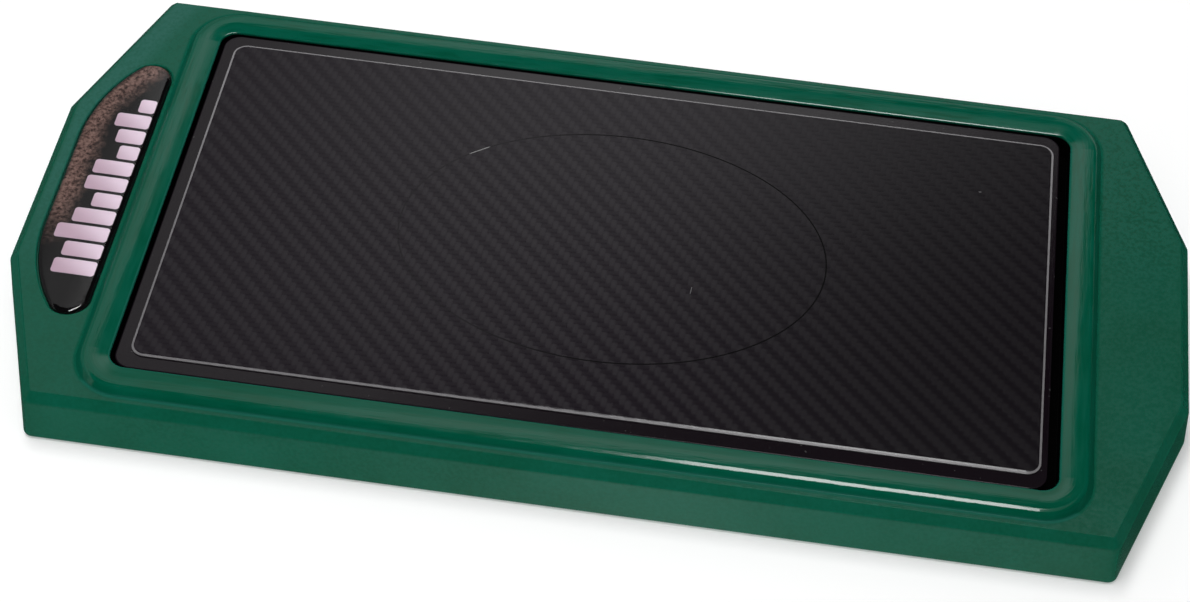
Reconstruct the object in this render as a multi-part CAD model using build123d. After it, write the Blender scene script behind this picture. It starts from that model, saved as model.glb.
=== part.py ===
from build123d import *
import math
import os

# Drum practice pad: a moulded tray with a raised rail round a pocket, a rubber playing pad with a
# hard laminate face glued into the pocket, a domed badge in one end tab and a non-slip sheet below.
# Millimetres. Origin: centre of the resting footprint. +Z up, +X along the length, badge at -X.

# Tray outline where its side walls start, at the underside
tray_length = 337.5
tray_width = 165.5
corner_cut_x = 18.95       # each corner is cut off by this much along the length
corner_cut_y = 51.55       # and by this much along the width, which leaves the end tabs
draft = 5.5                # degrees, side walls lean inwards
corner_round = 3.0         # upright corners
bevel_run = 2.2            # the bevel round the top edge runs in by this much
bevel_drop = 2.5           # and down by this much
bevel_top_round = 0.4      # soft edges above and below the bevel
bevel_foot_round = 1.5
foot_round = 0.8           # edge round the underside

# Heights
sheet_proud = 0.3          # the non-slip sheet stands this far below the tray
tray_height = 16.0         # underside to the flat ledge and tabs

# Margins round the pocket, from the tray's outline to the pocket's edge
badge_tab = 39.75          # end tab with the badge
plain_tab = 36.95          # the other end tab
side_margin = 15.15        # front and back
pocket_round = 5.0         # the pocket's corners in plan

# Raised rail round the pocket: distances from the pocket's edge, rises above the ledge
rail_width = 9.4
lip_rise = 1.35            # at the pocket's edge
outer_shoulder = 7.5
rail_rise = 2.1            # at the outer shoulder
rail_bulge = 0.3           # the top bulges by this much between lip and shoulder
lip_round = 0.5
outer_shoulder_round = 1.6
foot_fillet = 0.35         # hollow where the outer slope meets the ledge
rail_root = 1.0            # how deep the rail's section starts below the ledge

# Playing pad and its hard face
pad_clear_x = 2.2          # pocket wall to pad, on average
pad_clear_y = 0.5
pad_slip_x = -0.95         # the pad is glued in a little off centre
pad_slip_y = -0.2
pad_thick = 6.35
pad_below_lip = 0.55
pad_edge_round = 0.35
glue_thick = 0.15
film_thick = 0.1
face_border_x = 2.8        # rubber that shows at the ends of the face, on average
face_border_y = 4.35       # and at its long sides
face_thick = 0.6
face_round = 4.1           # corners in plan
face_bevel = 0.9           # width of the cut edge, seen from above
face_bevel_drop = 0.3

# Badge in the tab at -X
badge_gap = 1.6            # rail foot to the badge's straight side
badge_margin = 7.95        # the tray's outline to the badge's outer side
badge_side = 36.0          # straight part of the outer side
badge_bend = 50.0          # arcs from there to the tips
badge_tip = 6.0
badge_pocket_depth = 1.3
badge_pocket_clear = 0.3
badge_pocket_round = 0.5   # edge round the top of the pocket
badge_print = 0.15
dome_height = 1.75
dome_crown = 0.45
dome_round = 1.4

# Non-slip sheet on the underside
sheet_inset = 10.0
sheet_thick = 2.0
sheet_clear = 0.3
sheet_round = 4.0

pocket_length = tray_length - badge_tab - plain_tab
pocket_width = tray_width - 2 * side_margin
pocket_x = (badge_tab - plain_tab) / 2
face_length = pocket_length - 2 * (pad_clear_x + face_border_x)
face_width = pocket_width - 2 * (pad_clear_y + face_border_y)
ledge_z = sheet_proud + tray_height
lip_z = ledge_z + lip_rise
pad_top = lip_z - pad_below_lip
pocket_floor = pad_top - pad_thick - glue_thick
sheet_seat = sheet_thick + glue_thick
pocket_at = Pos(pocket_x, 0, 0)


def slab(face, low, high):
    """A flat outline raised from one height to another."""
    return extrude(Pos(0, 0, low) * face, amount=high - low)


def tray_outline(inset=0.0):
    """The eight-sided outline, or the same drawn inwards by inset."""
    x, y = tray_length / 2, tray_width / 2
    edge, end = x - corner_cut_x, y - corner_cut_y
    corners = [(x, end), (edge, y), (-edge, y), (-x, end), (-x, -end), (-edge, -y), (edge, -y), (x, -end)]
    outline = make_face(Polyline(*corners, close=True))
    return offset(outline, amount=-inset, kind=Kind.INTERSECTION) if inset else outline


def pocket_outline(clear_x=0.0, clear_y=0.0):
    """The pocket's rounded rectangle, or one smaller by a clearance on every side."""
    return RectangleRounded(pocket_length - 2 * clear_x, pocket_width - 2 * clear_y, pocket_round)


def rail_section(plane):
    """The rail's cross-section: u runs outwards from the pocket's edge, v is the height."""
    lip, shoulder = (0, lip_z), (outer_shoulder, ledge_z + rail_rise)
    foot, foot_end = (rail_width, ledge_z), (rail_width + 2 * foot_fillet, ledge_z)
    roots = [(foot_end[0], ledge_z - rail_root), (0, ledge_z - rail_root)]
    middle = (outer_shoulder / 2, (lip_z + ledge_z + rail_rise) / 2 + rail_bulge)
    top = ThreePointArc(lip, middle, shoulder)
    face = make_face(Polyline(shoulder, foot, foot_end, *roots, lip) + top)
    for point, radius in {lip: lip_round, shoulder: outer_shoulder_round, foot: foot_fillet}.items():
        corner = face.vertices().sort_by_distance((*point, 0))[0]
        face = fillet(corner, radius)
    return plane * face


def rail():
    """The section carried round the pocket: four straight runs and four turned corners."""
    half_x = pocket_length / 2 - pocket_round
    half_y = pocket_width / 2 - pocket_round
    signs = [(1, 1), (-1, 1), (-1, -1), (1, -1)]
    pieces = []
    for turn, (sign_x, sign_y) in enumerate(signs):
        angle = math.radians(90 * turn)
        out = Vector(math.cos(angle), math.sin(angle), 0)
        along = Vector(-math.sin(angle), math.cos(angle), 0)
        centre = Vector(sign_x * half_x, sign_y * half_y, 0)
        section = rail_section(Plane(centre + out * pocket_round, x_dir=out, z_dir=along * -1))
        run = 2 * (half_y if turn % 2 == 0 else half_x)
        pieces.append(extrude(section, amount=run))
        pieces.append(revolve(section, Axis(centre, (0, 0, 1)), revolution_arc=90))
    return pocket_at * (pieces[0] + pieces[1:])


def badge_outline(grow=0.0):
    """D shape: a straight side by the rail, a bent outer side and two round tips."""
    inner = badge_tab - tray_length / 2 - rail_width - badge_gap + grow
    outer = badge_margin - tray_length / 2 - grow
    bend, tip = badge_bend + grow, badge_tip + grow
    height = badge_side + 2 * bend
    bow_width = 2.2 * bend
    bow = Pos(outer + bow_width / 2, 0) * RectangleRounded(bow_width, height, bend)
    blank = Pos((inner + outer) / 2, 0) * Rectangle(inner - outer, height)
    shape = bow & blank
    tips = shape.vertices().group_by(Axis.X)[-1]
    return fillet(tips, tip)


def tray():
    """The moulded tray with its rail, the pocket, the badge's pocket and the sheet's seat."""
    block = extrude(Pos(0, 0, sheet_proud) * tray_outline(), amount=tray_height, taper=draft)
    low, high = block.faces().sort_by(Axis.Z)[0], block.faces().sort_by(Axis.Z)[-1]
    upright = block.edges() - low.edges() - high.edges()
    block = fillet(upright, corner_round)
    top = block.faces().sort_by(Axis.Z)[-1]
    block = chamfer(top.edges(), bevel_run, bevel_drop, reference=top)
    foot_z = ledge_z - bevel_drop
    bevel_foot = block.edges().filter_by_position(Axis.Z, foot_z - 0.2, foot_z + 0.2)
    block = fillet(bevel_foot, bevel_foot_round)
    block = fillet(block.faces().sort_by(Axis.Z)[-1].edges(), bevel_top_round)
    block = fillet(block.faces().sort_by(Axis.Z)[0].edges(), foot_round)
    body = block + rail()
    body -= pocket_at * slab(pocket_outline(), pocket_floor, ledge_z + rail_rise)
    badge_pocket = badge_outline(badge_pocket_clear)
    body -= slab(badge_pocket, ledge_z - badge_pocket_depth, ledge_z)
    box = badge_pocket.bounding_box()
    brim = body.edges().filter_by_position(Axis.X, box.min.X, box.max.X)
    brim = brim.filter_by_position(Axis.Y, box.min.Y, box.max.Y).filter_by_position(Axis.Z, ledge_z, ledge_z)
    body = fillet(brim, badge_pocket_round)
    seat = fillet(tray_outline(sheet_inset - sheet_clear).vertices(), sheet_round + sheet_clear)
    return body - slab(seat, 0, sheet_seat)


def playing_pad():
    """The rubber pad with its top edge just broken."""
    place = Pos(pocket_x + pad_slip_x, pad_slip_y, 0)
    pad = place * slab(pocket_outline(pad_clear_x, pad_clear_y), pocket_floor + glue_thick, pad_top)
    return fillet(pad.faces().sort_by(Axis.Z)[-1].edges(), pad_edge_round)


def playing_face():
    """The hard laminate with its cut edge sloped all round."""
    low = pad_top + film_thick
    high = low + face_thick
    rim = high - face_bevel_drop
    outer = RectangleRounded(face_length, face_width, face_round)
    inner = RectangleRounded(face_length - 2 * face_bevel, face_width - 2 * face_bevel, face_round - face_bevel)
    slope = loft([Pos(0, 0, rim) * outer, Pos(0, 0, high) * inner], ruled=True)
    return pocket_at * (slab(outer, low, rim) + slope)


def badge_dome():
    """Clear resin poured over the print: crowned across its width, edge rounded."""
    low = ledge_z - badge_pocket_depth + film_thick + badge_print
    outline = badge_outline()
    box = outline.bounding_box()
    radius = (box.size.X / 2) ** 2 / (2 * dome_crown)
    crown = Pos(box.center().X, 0, low + dome_height - radius) * Rot(90, 0, 0) * Cylinder(radius, box.size.Y + 2)
    dome = slab(outline, low, low + dome_height) & crown
    return fillet(dome.edges().filter_by(lambda e: e.center().Z > low + dome_height / 3), dome_round)


def nodes():
    """Every piece by its node name."""
    badge_floor = ledge_z - badge_pocket_depth
    film = RectangleRounded(face_length - 2 * face_bevel, face_width - 2 * face_bevel, face_round)
    sheet = fillet(tray_outline(sheet_inset).vertices(), sheet_round)
    glue_bed = pocket_at * slab(pocket_outline(film_thick, film_thick), pocket_floor, pocket_floor + glue_thick)
    return {
        "moulded_tray": tray(),
        "pad_glue_sheet": glue_bed,
        "rubber_pad": playing_pad(),
        "face_glue_film": pocket_at * slab(film, pad_top, pad_top + film_thick),
        "laminate_face": playing_face(),
        "badge_glue_film": slab(badge_outline(), badge_floor, badge_floor + film_thick),
        "badge_print": slab(badge_outline(), badge_floor + film_thick, badge_floor + film_thick + badge_print),
        "badge_dome": badge_dome(),
        "base_glue_sheet": slab(sheet, sheet_thick, sheet_seat),
        "non_slip_sheet": slab(sheet, 0, sheet_thick),
    }


os.makedirs("parts", exist_ok=True)
for name, piece in nodes().items():
    export_step(piece, f"parts/{name}.step")
    print(name, "volume", round(piece.volume))
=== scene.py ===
import math
import bpy
import numpy as np
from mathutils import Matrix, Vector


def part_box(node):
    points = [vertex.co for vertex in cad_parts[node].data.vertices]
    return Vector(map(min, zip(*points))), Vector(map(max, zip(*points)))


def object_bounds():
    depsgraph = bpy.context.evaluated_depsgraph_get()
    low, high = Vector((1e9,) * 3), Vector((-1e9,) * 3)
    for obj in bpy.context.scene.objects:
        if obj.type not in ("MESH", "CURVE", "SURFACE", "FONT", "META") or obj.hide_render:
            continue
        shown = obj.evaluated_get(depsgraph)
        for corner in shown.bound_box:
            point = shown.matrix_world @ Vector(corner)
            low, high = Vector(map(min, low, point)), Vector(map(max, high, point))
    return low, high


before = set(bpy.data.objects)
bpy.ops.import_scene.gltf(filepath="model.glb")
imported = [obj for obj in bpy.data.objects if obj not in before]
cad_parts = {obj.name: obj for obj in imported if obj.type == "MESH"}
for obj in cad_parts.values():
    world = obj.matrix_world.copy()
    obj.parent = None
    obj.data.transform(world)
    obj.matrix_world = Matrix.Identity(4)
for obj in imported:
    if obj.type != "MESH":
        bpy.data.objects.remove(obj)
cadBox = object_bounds()
mm = 0.001
print("frame loaded,", len(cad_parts), "nodes")


class Value:
    # one output socket, so that shader maths is written as plain expressions
    def __init__(self, finish, socket):
        self.finish = finish
        self.socket = socket

    def math(self, operation, *values):
        return self.finish.add("ShaderNodeMath", {"operation": operation}, dict(enumerate(values)))

    def __add__(self, other):
        return self.math("ADD", self, other)

    def __sub__(self, other):
        return self.math("SUBTRACT", self, other)

    def __rsub__(self, other):
        return self.math("SUBTRACT", other, self)

    def __mul__(self, other):
        return self.math("MULTIPLY", self, other)

    def __truediv__(self, other):
        return self.math("DIVIDE", self, other)

    def __pow__(self, other):
        return self.math("POWER", self, other)

    def __mod__(self, other):
        return self.math("FLOORED_MODULO", self, other)

    def __lt__(self, other):
        return self.math("LESS_THAN", self, other)

    def __abs__(self):
        return self.math("ABSOLUTE", self)

    __radd__ = __add__
    __rmul__ = __mul__

    def floor(self):
        return self.math("FLOOR", self)

    def sine(self):
        return self.math("SINE", self)

    def least(self, other):
        return self.math("MINIMUM", self, other)

    def most(self, other):
        return self.math("MAXIMUM", self, other)

    def rise(self, low, high):
        # 0 below low, 1 above high, smooth between
        return self.finish.add("ShaderNodeMapRange", {"interpolation_type": "SMOOTHSTEP"},
                               {"Value": self, "From Min": low, "From Max": high})

    def fall(self, low, high):
        # 1 below low, 0 above high, smooth between
        return 1 - self.rise(low, high)


class Finish:
    # a material or the world, built node by node
    def __init__(self, name, world=None):
        self.owner = world or bpy.data.materials.new(name)
        self.owner.use_nodes = True
        self.tree = self.owner.node_tree
        self.tree.nodes.clear()
        self.place = None

    def add(self, kind, settings=None, inputs=None, out=0):
        # one node: its type, its settings, then the values or links of its sockets
        node = self.tree.nodes.new(kind)
        for key, value in (settings or {}).items():
            setattr(node, key, value)
        for key, value in (inputs or {}).items():
            if isinstance(value, Value):
                self.tree.links.new(value.socket, node.inputs[key])
            else:
                node.inputs[key].default_value = value
        return Value(self, node.outputs[out] if node.outputs else None)

    def split(self, vector):
        # its x, y and z
        parts = self.add("ShaderNodeSeparateXYZ", None, {0: vector}).socket.node
        return [Value(self, output) for output in parts.outputs]

    def millimetres(self):
        # the point's x, y and z in the object's own millimetres
        place = self.add("ShaderNodeTexCoord", out="Object")
        self.place = self.add("ShaderNodeVectorMath", {"operation": "SCALE"}, {0: place, "Scale": 1 / mm})
        return self.split(self.place)

    def noise(self, perMillimetre, detail=3.0, rough=0.6, vector=None):
        # soft lumps from 0 to 1, so many to a millimetre
        return self.add("ShaderNodeTexNoise", None, {
            "Vector": vector or self.place, "Scale": perMillimetre, "Detail": detail, "Roughness": rough})

    def mix(self, share, first, second):
        # the first colour at a share of 0, the second at 1
        return self.add("ShaderNodeMix", {"data_type": "RGBA"},
                        {0: share, 6: rgba(first), 7: rgba(second)}, out=2)

    def mixShader(self, share, first, second):
        return self.add("ShaderNodeMixShader", None, {0: share, 1: first, 2: second})

    def bump(self, height, millimetreDepth, below=None):
        # a surface that rises by the depth where the height goes from 0 to 1, on the one below
        inputs = {"Height": height, "Distance": millimetreDepth * mm, "Strength": 1.0}
        if below:
            inputs["Normal"] = below
        return self.add("ShaderNodeBump", None, inputs)

    def principled(self, colour, roughness, ior, skin=None, through=0.0):
        inputs = {"Base Color": rgba(colour), "Roughness": roughness, "IOR": ior,
                  "Transmission Weight": through}
        if skin:
            inputs["Normal"] = skin
        return self.add("ShaderNodeBsdfPrincipled", None, inputs)

    def mattWhere(self, share, glossy, colour, ior, skin, roughness=0.5):
        # the glossy shader at a share of 0, and at 1 a rough one that mirrors next to nothing
        return self.mixShader(share, glossy, self.principled(colour, roughness, ior, skin))

    def ray(self, kind):
        # 1 where the surface is met by a ray of this kind: Camera, Glossy, Diffuse, Shadow, Transmission
        return self.add("ShaderNodeLightPath", out=f"Is {kind} Ray")

    def done(self, surface):
        self.add("ShaderNodeOutputMaterial", None, {"Surface": surface})
        return self.owner


def rgba(colour):
    # a link as it is, and three numbers with an alpha of 1
    return colour if isinstance(colour, Value) else (*colour, 1)


def roundedEdge(x, y, centre, half, radius):
    # distance to a rounded rectangle's edge, negative inside it: how far the point lies past the corner's
    # centre, as a length outside and the larger share inside, less the radius
    pastX = abs(x - centre[0]) - (half[0] - radius)
    pastY = abs(y - centre[1]) - (half[1] - radius)
    outside = (pastX.most(0) ** 2 + pastY.most(0) ** 2) ** 0.5
    return outside + pastX.most(pastY).least(0) - radius


def middle(node):
    # a node's centre and half its size in millimetres: half the sum and the difference of its corners
    low, high = np.array(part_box(node)) / mm
    return ((low + high) / 2).tolist(), ((high - low) / 2).tolist()


def dress(node, material):
    # the whole node in one material
    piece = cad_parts[node]
    piece.data.materials.clear()
    piece.data.materials.append(material)
    for polygon in piece.data.polygons:
        polygon.material_index = 0


# Lengths are in millimetres and colours are linear. Grain, clouds and lumps are counted per millimetre.

tray = {
    "green": (0.0, 0.066, 0.034),
    "pale": (0.0005, 0.085, 0.050),         # where the skin is a touch milky
    "edgeHighlight": (0.006, 0.100, 0.068),        # painted highlight along the moulded edges, which are matt
    "worn": (0.013, 0.106, 0.078),          # a milky strip along the badge's end
    "wornStrip": (3.5, 5.0, 8.0, 15.0),     # from the end's outline: begins, full, begins to fade, gone
    "wornToBack": (-50, 5),                 # and it grows between these y
    # painted shade: near black down the pocket's wall, where the narrow gap lies in shade
    "pocketWallShade": (0.002, 0.002, 0.002),
    "endHalf": 31.2,                        # half the straight part of the end
    "cutSlope": 0.3676,                     # how far the cut corner runs in for each millimetre across
    "wallGap": 0.1,                         # between the glue sheet and the pocket's wall
    "pocketRound": 5.0,                     # this and the next four are as the tray is built
    "railWidth": 9.4,
    "lipHeight": 17.65,
    "ledge": 16.3,
    "bevelDrop": 2.5,
    "railRoughness": 0.12,
    "tabRoughness": 0.24,
    "ior": 1.47,
    "mattIor": 1.12,
    "streaks": (0.08, 0.9),                 # the rail's skin is drawn out: lumps along and across
    "grain": 0.9,
    "clouds": 0.03,
    "grainDepth": 0.025,
    "waves": 0.06,                          # slow waves per millimetre
    "waveDepth": 0.06,
}


def trayMaterial():
    # green plastic, matt along its moulded edges: margin is the distance out from the pocket's edge, and
    # every mask is a smooth step of it, of the height or of the place along the tray
    finish = Finish("greenShell")
    x, y, z = finish.millimetres()
    centre, half = middle("pad_glue_sheet")
    pocketHalf = [length + tray["wallGap"] for length in half]
    margin = roundedEdge(x, y, centre, pocketHalf, tray["pocketRound"])
    railWidth, lipHeight, ledge = tray["railWidth"], tray["lipHeight"], tray["ledge"]
    bevelFoot = ledge - tray["bevelDrop"]
    onTab = margin.rise(railWidth - 0.5, railWidth + 0.6)
    # painted shade: the pocket's wall below the lip
    wallShade = margin.fall(0.1, 0.3) * z.fall(lipHeight - 0.75, lipHeight - 0.45)

    # colour: grain on the tabs, streaks on the rail, both stronger to the back, and the milky strip
    grain = finish.noise(tray["grain"])
    clouds = finish.noise(tray["clouds"])
    along, across = tray["streaks"]
    drawn = finish.add("ShaderNodeCombineXYZ", None, {0: x * along, 1: margin * across, 2: y * along})
    streaks = finish.noise(1.0, vector=drawn)
    speckle = grain.rise(0.35, 0.65) * onTab + streaks.rise(0.35, 0.65) * (1 - onTab)
    milky = clouds.rise(0.3, 0.7) * 0.6 + speckle * (0.45 + y.rise(0, 60))
    colour = finish.mix(milky, tray["green"], tray["pale"])
    fromEnd = x - cadBox[0][0] / mm - (abs(y) - tray["endHalf"]).most(0) * tray["cutSlope"]
    begins, full, fades, gone = tray["wornStrip"]
    strip = fromEnd.rise(begins, full) * fromEnd.fall(fades, gone) * y.rise(*tray["wornToBack"])
    colour = finish.mix(strip * (0.55 + grain.rise(0.3, 0.7) * 0.45), colour, tray["worn"])

    # skin: slow waves under the grain and the streaks, which are fainter by the lip
    waves = finish.bump(finish.noise(tray["waves"], 2.0, 0.5), tray["waveDepth"])
    onRail = (1 - onTab) * (0.3 + margin.rise(1.5, 4.5) * 1.7)
    skin = finish.bump(grain * onTab + streaks * onRail, tray["grainDepth"], below=waves)
    roughness = tray["railRoughness"] + onTab * (tray["tabRoughness"] - tray["railRoughness"])
    roughness = roughness + (speckle - 0.5) * 0.04
    # painted shade: the pocket's wall turns near black
    faceColour = finish.mix(wallShade, colour, tray["pocketWallShade"])
    plastic = finish.principled(faceColour, roughness, tray["ior"], skin)

    # matt edges: the rail's foot, wider at the ends, its lip, the ledge's brow and the front bevel
    front = y.fall(-half[1] - 6, -half[1] - 5)
    ends = abs(x - centre[0]).rise(half[0] + 5, half[0] + 6)
    foot = (margin + ends * 1.2).rise(railWidth - 0.6, railWidth - 0.1)
    foot = foot * margin.fall(railWidth + 0.3, railWidth + 1.2)
    lip = margin.fall(0.35, 0.7) * y.fall(half[1] - 5, half[1] - 3)
    brow = z.rise(ledge - 0.35, ledge - 0.15) * z.fall(ledge - 0.0012, ledge - 0.0002) * onTab
    bevel = z.rise(bevelFoot - 0.2, bevelFoot + 0.2) * z.fall(ledge - 0.1, ledge) * front * 0.75
    edges = foot.most(lip).most(brow).most(bevel)
    # painted highlight: a lighter green on the lip and on the foot at the front
    edgeColour = finish.mix((front * foot).most(lip), colour, tray["edgeHighlight"])
    # painted shade on the pocket's wall, in the matt colour too
    edgeColour = finish.mix(wallShade, edgeColour, tray["pocketWallShade"])
    return finish.done(finish.mattWhere(edges * 0.97, plastic, edgeColour, tray["mattIor"], skin))


pad = {
    "rubber": (0.0050, 0.0026, 0.0047),
    "dust": (0.08, 0.08, 0.08),
    "dustSpots": 0.9,
    "roughness": 0.05,
    "ior": 1.56,
    "mattIor": 1.12,
    "corner": 5.0,
    "edge": 0.45,                           # the broken edge is matt
    "dullLeft": 0.15,                       # how much duller the border is at the left,
    "dullFront": 0.4,                       # and along the front
    "grain": 3.0,
    "grainDepth": 0.02,
    "clouds": 0.08,                         # they change the roughness
}


def rubberMaterial():
    # smooth black rubber: matt where the distance to its outline is less than the broken edge's width,
    # and a little duller at the left and along the front
    finish = Finish("blackRubber")
    x, y, _ = finish.millimetres()
    centre, half = middle("rubber_pad")
    edge = roundedEdge(x, y, centre, half, pad["corner"]).rise(-pad["edge"] - 0.1, -pad["edge"] + 0.1)
    dust = finish.noise(pad["dustSpots"], 1.0, 0.4).rise(0.77, 0.8)
    colour = finish.mix(dust * 0.5, pad["rubber"], pad["dust"])
    roughness = pad["roughness"] + finish.noise(pad["clouds"]) * 0.05
    skin = finish.bump(finish.noise(pad["grain"], 2.0), pad["grainDepth"])
    smooth = finish.principled(colour, roughness, pad["ior"], skin)
    atLeft = y.fall(-60, 30).most(x.fall(-110, -90))
    atFront = y.fall(-58, -50) * x.rise(-80, 20)
    dull = (atLeft * pad["dullLeft"] + atFront * pad["dullFront"]).most(edge * 0.9)
    return finish.done(finish.mattWhere(dull, smooth, colour, pad["mattIor"], skin))


laminate = {
    "tow": 1.65,                            # width of a tow
    "light": (0.0074, 0.0044, 0.0080),
    "dark": (0.0058, 0.0032, 0.0064),
    "shadedRight": (0.002, 0.0014, 0.0022),   # painted shade: what both turn to at the right
    "toRight": (-10, 100),                  # between these x they darken as painted shade and the ribs fade,
    "toBack": (-10, 60),                    # and between these y the ribs fade a little
    "softLumps": 0.5,                       # slow change in the tows and in the cut edge
    "blur": 0.4,                            # how far the clear coat blurs the cells into ribs
    "ribs": 0.68,                           # how much less the sunk tows mirror
    "weaveDepth": 0.006,
    "cutEdge": (0.24, 0.232, 0.24),
    "edgeWidth": 0.6,
    "corner": 4.1,
    "zone": (61.9, 43.9),                   # half axes of the striking zone's printed ring
    "zoneLine": 0.3,
    "zoneInk": (0.001, 0.001, 0.001),
    "zoneInked": (-50, 10),                 # it gains ink between these x
    "roughness": 0.2,
    "ior": 1.51,
    "mattIor": 1.08,
    "scuffed": (0.3, 0.3, 0.3),
    "scuffs": [                             # x, y, length, angle in degrees, width, strength
        (-42.6, 30.8, 7.4, 36.0, 0.28, 0.8),
        (26.0, -13.4, 3.0, 86.0, 0.2, 0.4),
        (105.6, 39.7, 0.9, 10.0, 0.3, 0.4),
    ],
}


def twill(x, y):
    # two over, two under: a cell shows the tow along y where the sum of its column and row, counted by
    # fours, is 0 or 1, and the tow along x elsewhere; each float is a low arch, long way and across; the
    # clear coat blurs the cells into diagonal ribs, a wave of the two counts added before rounding
    across, along = x / laminate["tow"], y / laminate["tow"]
    column, row = across.floor(), along.floor()
    step = (column + row) % 4
    upright = step < 1.5
    edgeX, edgeY = across - column, along - row
    archX = 1 - (edgeX * 2 - 1) ** 2
    archY = 1 - (edgeY * 2 - 1) ** 2
    runY = 1 - ((step + edgeY) - 1) ** 2
    runX = 1 - ((step - 2 + edgeX) - 1) ** 2
    tall = archX * 0.55 + runY * 0.45
    flat = archY * 0.55 + runX * 0.45
    rib = (1 - abs((across + along + 0.5) % 4 - 2) / 2).rise(0.1, 0.6)
    shown = upright + (rib - upright) * laminate["blur"]
    return shown, flat + upright * (tall - flat)


def ovalLine(x, y, halfX, halfY, width):
    # a line along an oval: reach is 1 on it, and how far reach is from 1, divided by how fast it grows
    # there, is the distance to the line
    reach = ((x / halfX) ** 2 + (y / halfY) ** 2) ** 0.5
    growth = ((x / halfX ** 2) ** 2 + (y / halfY ** 2) ** 2) ** 0.5 / reach.most(0.1)
    return abs((reach - 1) / growth.most(0.001)).fall(width * 0.5, width)


def scuff(x, y, spotX, spotY, length, angle, width, strength):
    # a short stroke: how near the point is to the line through the spot, and how far along it
    turn = math.radians(angle)
    dx, dy = x - spotX, y - spotY
    along = dx * math.cos(turn) + dy * math.sin(turn)
    across = dy * math.cos(turn) - dx * math.sin(turn)
    return abs(across).fall(0, width) * abs(along).fall(length * 0.35, length * 0.5) * strength


def laminateMaterial():
    # dark twill under a clear coat, with a printed ring, scuffs, a pale cut edge and painted shade that
    # darkens it to the right; the sunk tows, the ring and the edge mirror less, and the ribs fade to the
    # right and to the back
    finish = Finish("twillLaminate")
    x, y, _ = finish.millimetres()
    centre, half = middle("laminate_face")
    fromEdge = roundedEdge(x, y, centre, half, laminate["corner"])
    rim = fromEdge.rise(-laminate["edgeWidth"] - 0.12, -laminate["edgeWidth"] + 0.12)
    upright, weave = twill(x, y)
    soft = finish.noise(laminate["softLumps"])
    right, back = x.rise(*laminate["toRight"]), y.rise(*laminate["toBack"])
    inked = x.rise(*laminate["zoneInked"]) * 0.5
    ring = ovalLine(x - centre[0], y, *laminate["zone"], laminate["zoneLine"])

    threads = (upright * 0.75 + weave * 0.25) * (0.8 + soft * 0.4)
    colour = finish.mix(threads, laminate["dark"], laminate["light"])
    # painted shade: darker towards the right
    colour = finish.mix(right * 0.6, colour, laminate["shadedRight"])
    colour = finish.mix(ring * (0.4 + inked), colour, laminate["zoneInk"])
    for spot in laminate["scuffs"]:
        colour = finish.mix(scuff(x, y, *spot), colour, laminate["scuffed"])
    colour = finish.mix(rim * (0.5 + soft * 0.4 + y.rise(-20, 55) * 0.3), colour, laminate["cutEdge"])

    skin = finish.bump(weave * (1 - rim), laminate["weaveDepth"])
    roughness = laminate["roughness"] + (upright - 0.5) * 0.04
    glossy = finish.principled(colour, roughness, laminate["ior"], skin)
    ribs = (1 - right * 0.82) * (1 - back * 0.3) * laminate["ribs"]
    sunk = (1 - upright * 0.6 - weave * 0.4) * ribs + right * 0.26
    dull = sunk.most(ring * (0.35 + inked)).most(rim * 0.8)
    return finish.done(finish.mattWhere(dull, glossy, colour, laminate["mattIor"], skin))


adhesive = {
    "black": (0.0005, 0.0005, 0.0005),
    "roughness": 0.6,
    "ior": 1.05,
    "lumps": 1.5,
    "lumpDepth": 0.05,
    "patches": 0.4,
}


def adhesiveMaterial():
    # lumpy black glue, its roughness from a slower noise than its lumps
    finish = Finish("blackAdhesive")
    finish.millimetres()
    skin = finish.bump(finish.noise(adhesive["lumps"]), adhesive["lumpDepth"])
    roughness = adhesive["roughness"] + finish.noise(adhesive["patches"], 2.0, 0.5) * 0.2
    return finish.done(finish.principled(adhesive["black"], roughness, adhesive["ior"], skin))


badge = {
    "field": (0.004, 0.0035, 0.004),
    "silver": (0.62, 0.47, 0.56),
    "silverPale": (0.84, 0.74, 0.82),
    "copper": (0.07, 0.035, 0.028),
    "copperPale": (0.34, 0.21, 0.18),
    "roughness": 0.3,
    "ior": 1.05,                            # the resin above it does the mirroring
    "bend": 50.0,                           # radius of the bowed side
    "straight": 36.0,                       # and its straight part
    "bars": 11,
    "barPitch": 6.6,
    "barHigh": 5.5,
    "barRound": 1.0,
    "barReach": (5.2, 2.0, 1.5),            # half their length: average, gain to the front, wave
    "barInset": 1.7,                        # from the badge's straight side
    "barSheen": 13.0,                       # they get paler over this length
    "speckle": 0.9,
    "drifts": 0.16,
    "dustIn": (7.5, 13.5),                  # the dust thins out this far in from the bowed side,
    "dustBack": (-14, 12),                  # and grows between these y
}


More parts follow.
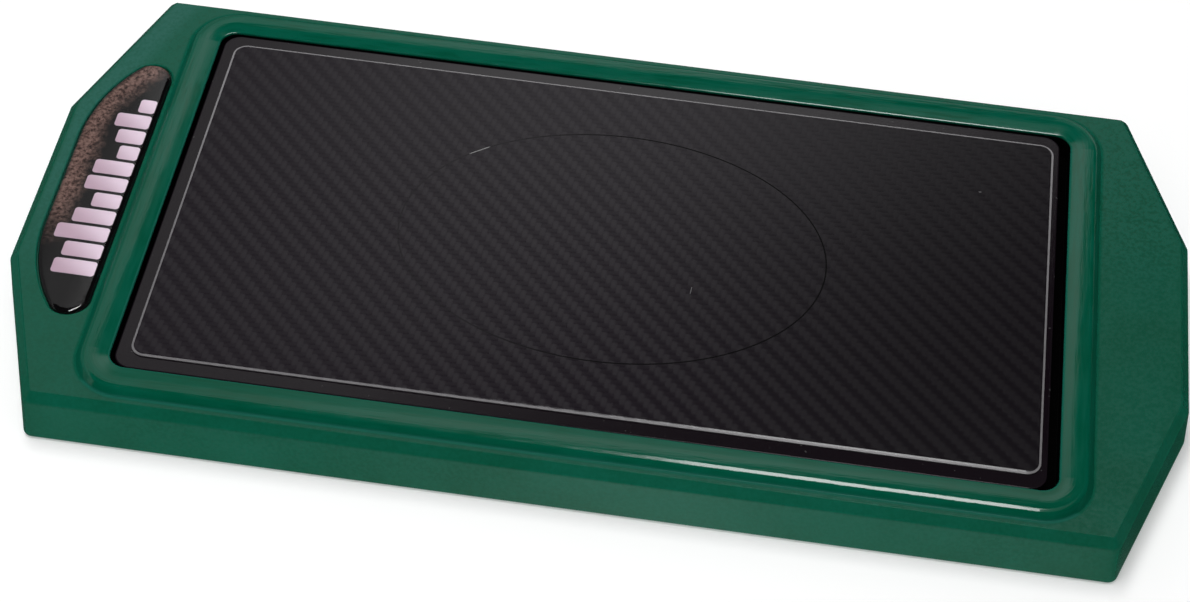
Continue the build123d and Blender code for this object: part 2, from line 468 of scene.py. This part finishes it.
def badgeMaterial():
    # silver bars and drifts of copper dust on a black field
    finish = Finish("badgeInk")
    x, y, _ = finish.millimetres()
    centre, half = middle("badge_print")
    bowSide, barSide = centre[0] - half[0], centre[0] + half[0] - badge["barInset"]

    # bars like a sound meter, each a rounded box that stands on the straight side; its half length
    # follows a slow wave and grows towards the front
    slot = (y / badge["barPitch"] + 0.5).floor()
    local = y - slot * badge["barPitch"]
    average, gain, swing = badge["barReach"]
    reach = (slot * 1.9 + 0.6).sine() * swing + average - slot * (2 * gain / badge["bars"])
    bar = roundedEdge(x, local, (barSide - reach, 0), (reach, badge["barHigh"] / 2), badge["barRound"])
    bar = bar.fall(-0.12, 0.12) * (abs(slot) < badge["bars"] / 2)
    shine = ((x - barSide) / badge["barSheen"] + 1 + local * 0.1).rise(0, 1.1)
    metal = finish.mix(shine, badge["silver"], badge["silverPale"])

    # dust along the bowed side: the distance in from it is the arc's radius less the distance to its
    # centre, which slides along the straight part
    pastStraight = (abs(y) - badge["straight"] / 2).most(0)
    inward = badge["bend"] - ((x - bowSide - badge["bend"]) ** 2 + pastStraight ** 2) ** 0.5
    speckle = finish.noise(badge["speckle"], 5.0, 0.75)
    drifts = finish.noise(badge["drifts"], 4.0, 0.65)
    copper = finish.mix(speckle.rise(0.36, 0.68), badge["copper"], badge["copperPale"])
    dusty = (inward + drifts * 9).fall(*badge["dustIn"]) * (y + drifts * 30).rise(*badge["dustBack"])
    dusty = dusty * inward.rise(0.3, 1.2) * speckle.rise(0.25, 0.5)
    colour = finish.mix(dusty, badge["field"], copper)
    colour = finish.mix(bar, colour, metal)
    return finish.done(finish.principled(colour, badge["roughness"] + speckle * 0.1, badge["ior"]))


resin = {
    "tint": (1, 1, 1),
    "roughness": 0.03,
    "ior": 1.5,
    "waves": 0.15,
    "waveDepth": 0.05,
}


def resinMaterial():
    # clear resin that lets the light through to the print
    finish = Finish("clearResin")
    finish.millimetres()
    skin = finish.bump(finish.noise(resin["waves"], 2.0, 0.5), resin["waveDepth"])
    clear = finish.principled(resin["tint"], resin["roughness"], resin["ior"], skin, through=1.0)
    shadowless = finish.add("ShaderNodeBsdfTransparent")
    return finish.done(finish.mixShader(finish.ray("Shadow"), clear, shadowless))


baseSheet = {
    "rubber": (0.012, 0.012, 0.013),
    "worn": (0.03, 0.03, 0.032),
    "wornPatches": 0.2,
    "roughness": 0.75,
    "ior": 1.5,
    "ribPitch": 3.0,                        # along x and y
    "ribDepth": 0.3,
}


def sheetMaterial():
    # slanting ribs: a triangle wave of x and y added together
    finish = Finish("baseRubber")
    x, y, _ = finish.millimetres()
    rib = abs((x + y) / baseSheet["ribPitch"] % 1 - 0.5) * 2
    skin = finish.bump(rib.rise(0.2, 0.5), baseSheet["ribDepth"])
    colour = finish.mix(finish.noise(baseSheet["wornPatches"]), baseSheet["rubber"], baseSheet["worn"])
    roughness = baseSheet["roughness"] + rib * 0.1
    return finish.done(finish.principled(colour, roughness, baseSheet["ior"], skin))


blackFilm = adhesiveMaterial()
dress("moulded_tray", trayMaterial())
dress("rubber_pad", rubberMaterial())
dress("laminate_face", laminateMaterial())
dress("badge_print", badgeMaterial())
dress("badge_dome", resinMaterial())
dress("non_slip_sheet", sheetMaterial())
for node in ("pad_glue_sheet", "face_glue_film", "badge_glue_film", "base_glue_sheet"):
    dress(node, blackFilm)
print("materials done")


studio = {                                  # metres, degrees
    "floorSize": 6.0,
    "floorBelow": 0.00005,                  # so that it doesn't touch the underside
    "floorAlbedo": 0.8,
    "floorGlow": 0.27,
    "floorMirrored": (0.05, 0.16, 0.24),    # in the object's gloss: least, gain at the right, in a patch
    "floorFill": 1.5,                       # what it adds to the light that it throws on the sides
    "worldStrength": 0.8,
    "ambient": 0.45,
    "sweepNormal": (-0.521, 0.624, -0.582), # the white sweep fills the side of space this points to
    "sweep": 1.15,
    "lossInside": (0.6, 0.1, 0.25),         # the share it loses inside the white side, and its limits
    "lossLeft": (0.5, 0.12, 0.24),          # towards the left
    "lossRight": (0.3, 0.0, 0.13),          # towards the right
    "halo": 0.35,                           # glow round the softbox, on its right
    "boxAway": 1.5,
    "glossBox": (97.0, 0.144, 0.349, 1.66, 14.0),   # angle up from behind, x, width, length, radiance
    "lightBox": (87.0, -0.25, 0.415, 1.15, 10.6),
}


def stageFloor():
    # white paper: the camera sees it pale with the object's shadow, the object's matt colours get more
    # light from it, and its gloss sees it dark, a little lighter in front of the middle
    half, low = studio["floorSize"] / 2, -studio["floorBelow"]
    corners = [(-half, -half, low), (half, -half, low), (half, half, low), (-half, half, low)]
    mesh = bpy.data.meshes.new("floor")
    mesh.from_pydata(corners, [], [(0, 1, 2, 3)])
    floor = bpy.data.objects.new("floor", mesh)
    bpy.context.scene.collection.objects.link(floor)
    finish = Finish("whiteFloor")
    paper = finish.add("ShaderNodeBsdfDiffuse", None, {"Color": (*[studio["floorAlbedo"]] * 3, 1)})
    glow = finish.add("ShaderNodeEmission", None, {"Strength": studio["floorGlow"]})
    pale = finish.add("ShaderNodeAddShader", None, {0: paper, 1: glow})
    filling = finish.add("ShaderNodeEmission", None, {"Strength": studio["floorFill"]})
    lamp = finish.add("ShaderNodeAddShader", None, {0: paper, 1: filling})
    x, _, _ = finish.millimetres()
    least, more, patch = studio["floorMirrored"]
    level = x.rise(-90, -20) * more + abs(x - 23).fall(5, 60) * patch + least
    mirrored = finish.add("ShaderNodeEmission", None, {"Color": level * x.fall(138, 160)})
    seen = finish.mixShader(finish.ray("Camera").most(finish.ray("Transmission")), lamp, pale)
    mesh.materials.append(finish.done(finish.mixShader(finish.ray("Glossy"), seen, mirrored)))


def keptAfter(value, name):
    # what the sweep keeps: 1, less its loss once the value has risen from one limit to the other
    share, begins, full = studio[name]
    return 1 - value.rise(begins, full) * share


def studioWorld():
    # side is the share of a direction along the sweep's normal: the sweep is white where it is above 0,
    # matt colours get the ambient level and the camera sees white
    world = bpy.data.worlds.new("studio")
    bpy.context.scene.world = world
    finish = Finish("studio", world)
    direction = finish.add("ShaderNodeTexCoord", out="Generated")
    normal = np.array(studio["sweepNormal"]) / np.linalg.norm(studio["sweepNormal"])
    side = finish.add("ShaderNodeVectorMath", {"operation": "DOT_PRODUCT"},
                      {0: direction, 1: tuple(normal)}, out="Value")
    x, _, z = finish.split(direction)
    kept = keptAfter(side, "lossInside") * keptAfter(0 - x, "lossLeft") * keptAfter(x, "lossRight")
    halo = z.rise(0.80, 0.86) * x.rise(-0.02, 0.04) * side.fall(-0.02, 0.0)
    sweep = side.rise(-0.015, 0.02) * kept * studio["sweep"] + halo * studio["halo"]
    level = sweep + finish.ray("Diffuse") * (studio["ambient"] - sweep)
    level = level + finish.ray("Camera") * (1 - level)
    background = finish.add("ShaderNodeBackground", None,
                            {"Color": level, "Strength": studio["worldStrength"]})
    finish.add("ShaderNodeOutputWorld", None, {"Surface": background})


def softBox(name, inGloss):
    # one soft box above the object, seen either in its gloss or by its matt colours; its radiance times
    # pi and its area is its power
    elevation, x, width, length, radiance = studio[name]
    turn = math.radians(elevation)
    lamp = bpy.data.lights.new(name, "AREA")
    lamp.shape = "RECTANGLE"
    lamp.size, lamp.size_y = width, length
    lamp.energy = radiance * math.pi * width * length
    light = bpy.data.objects.new(name, lamp)
    light.location = (x, studio["boxAway"] * math.cos(turn), studio["boxAway"] * math.sin(turn))
    light.rotation_euler = (turn - math.pi / 2, 0, 0)
    light.visible_camera = False
    light.visible_glossy = inGloss
    light.visible_diffuse = not inGloss
    bpy.context.scene.collection.objects.link(light)


view = {                                    # metres, degrees
    "lens": 77.23,                          # in millimetres, as the sensor's width
    "sensor": 36,
    "shift": (-0.0197, -0.0004),
    "place": (0.05259, -0.49182, 0.56099),
    "turn": (41.0295, -2.1049, 8.0350),
}


def viewCamera():
    # the lens is shifted, so the camera looks a little past the object's middle
    camera = bpy.data.cameras.new("camera")
    camera.sensor_width = view["sensor"]
    camera.lens = view["lens"]
    camera.shift_x, camera.shift_y = view["shift"]
    viewer = bpy.data.objects.new("camera", camera)
    viewer.location = view["place"]
    viewer.rotation_euler = [math.radians(angle) for angle in view["turn"]]
    bpy.context.scene.collection.objects.link(viewer)
    bpy.context.scene.camera = viewer


stageFloor()
studioWorld()
softBox("glossBox", True)
softBox("lightBox", False)
viewCamera()
bpy.context.scene.view_settings.view_transform = "Standard"
print("stage, lights and camera done")
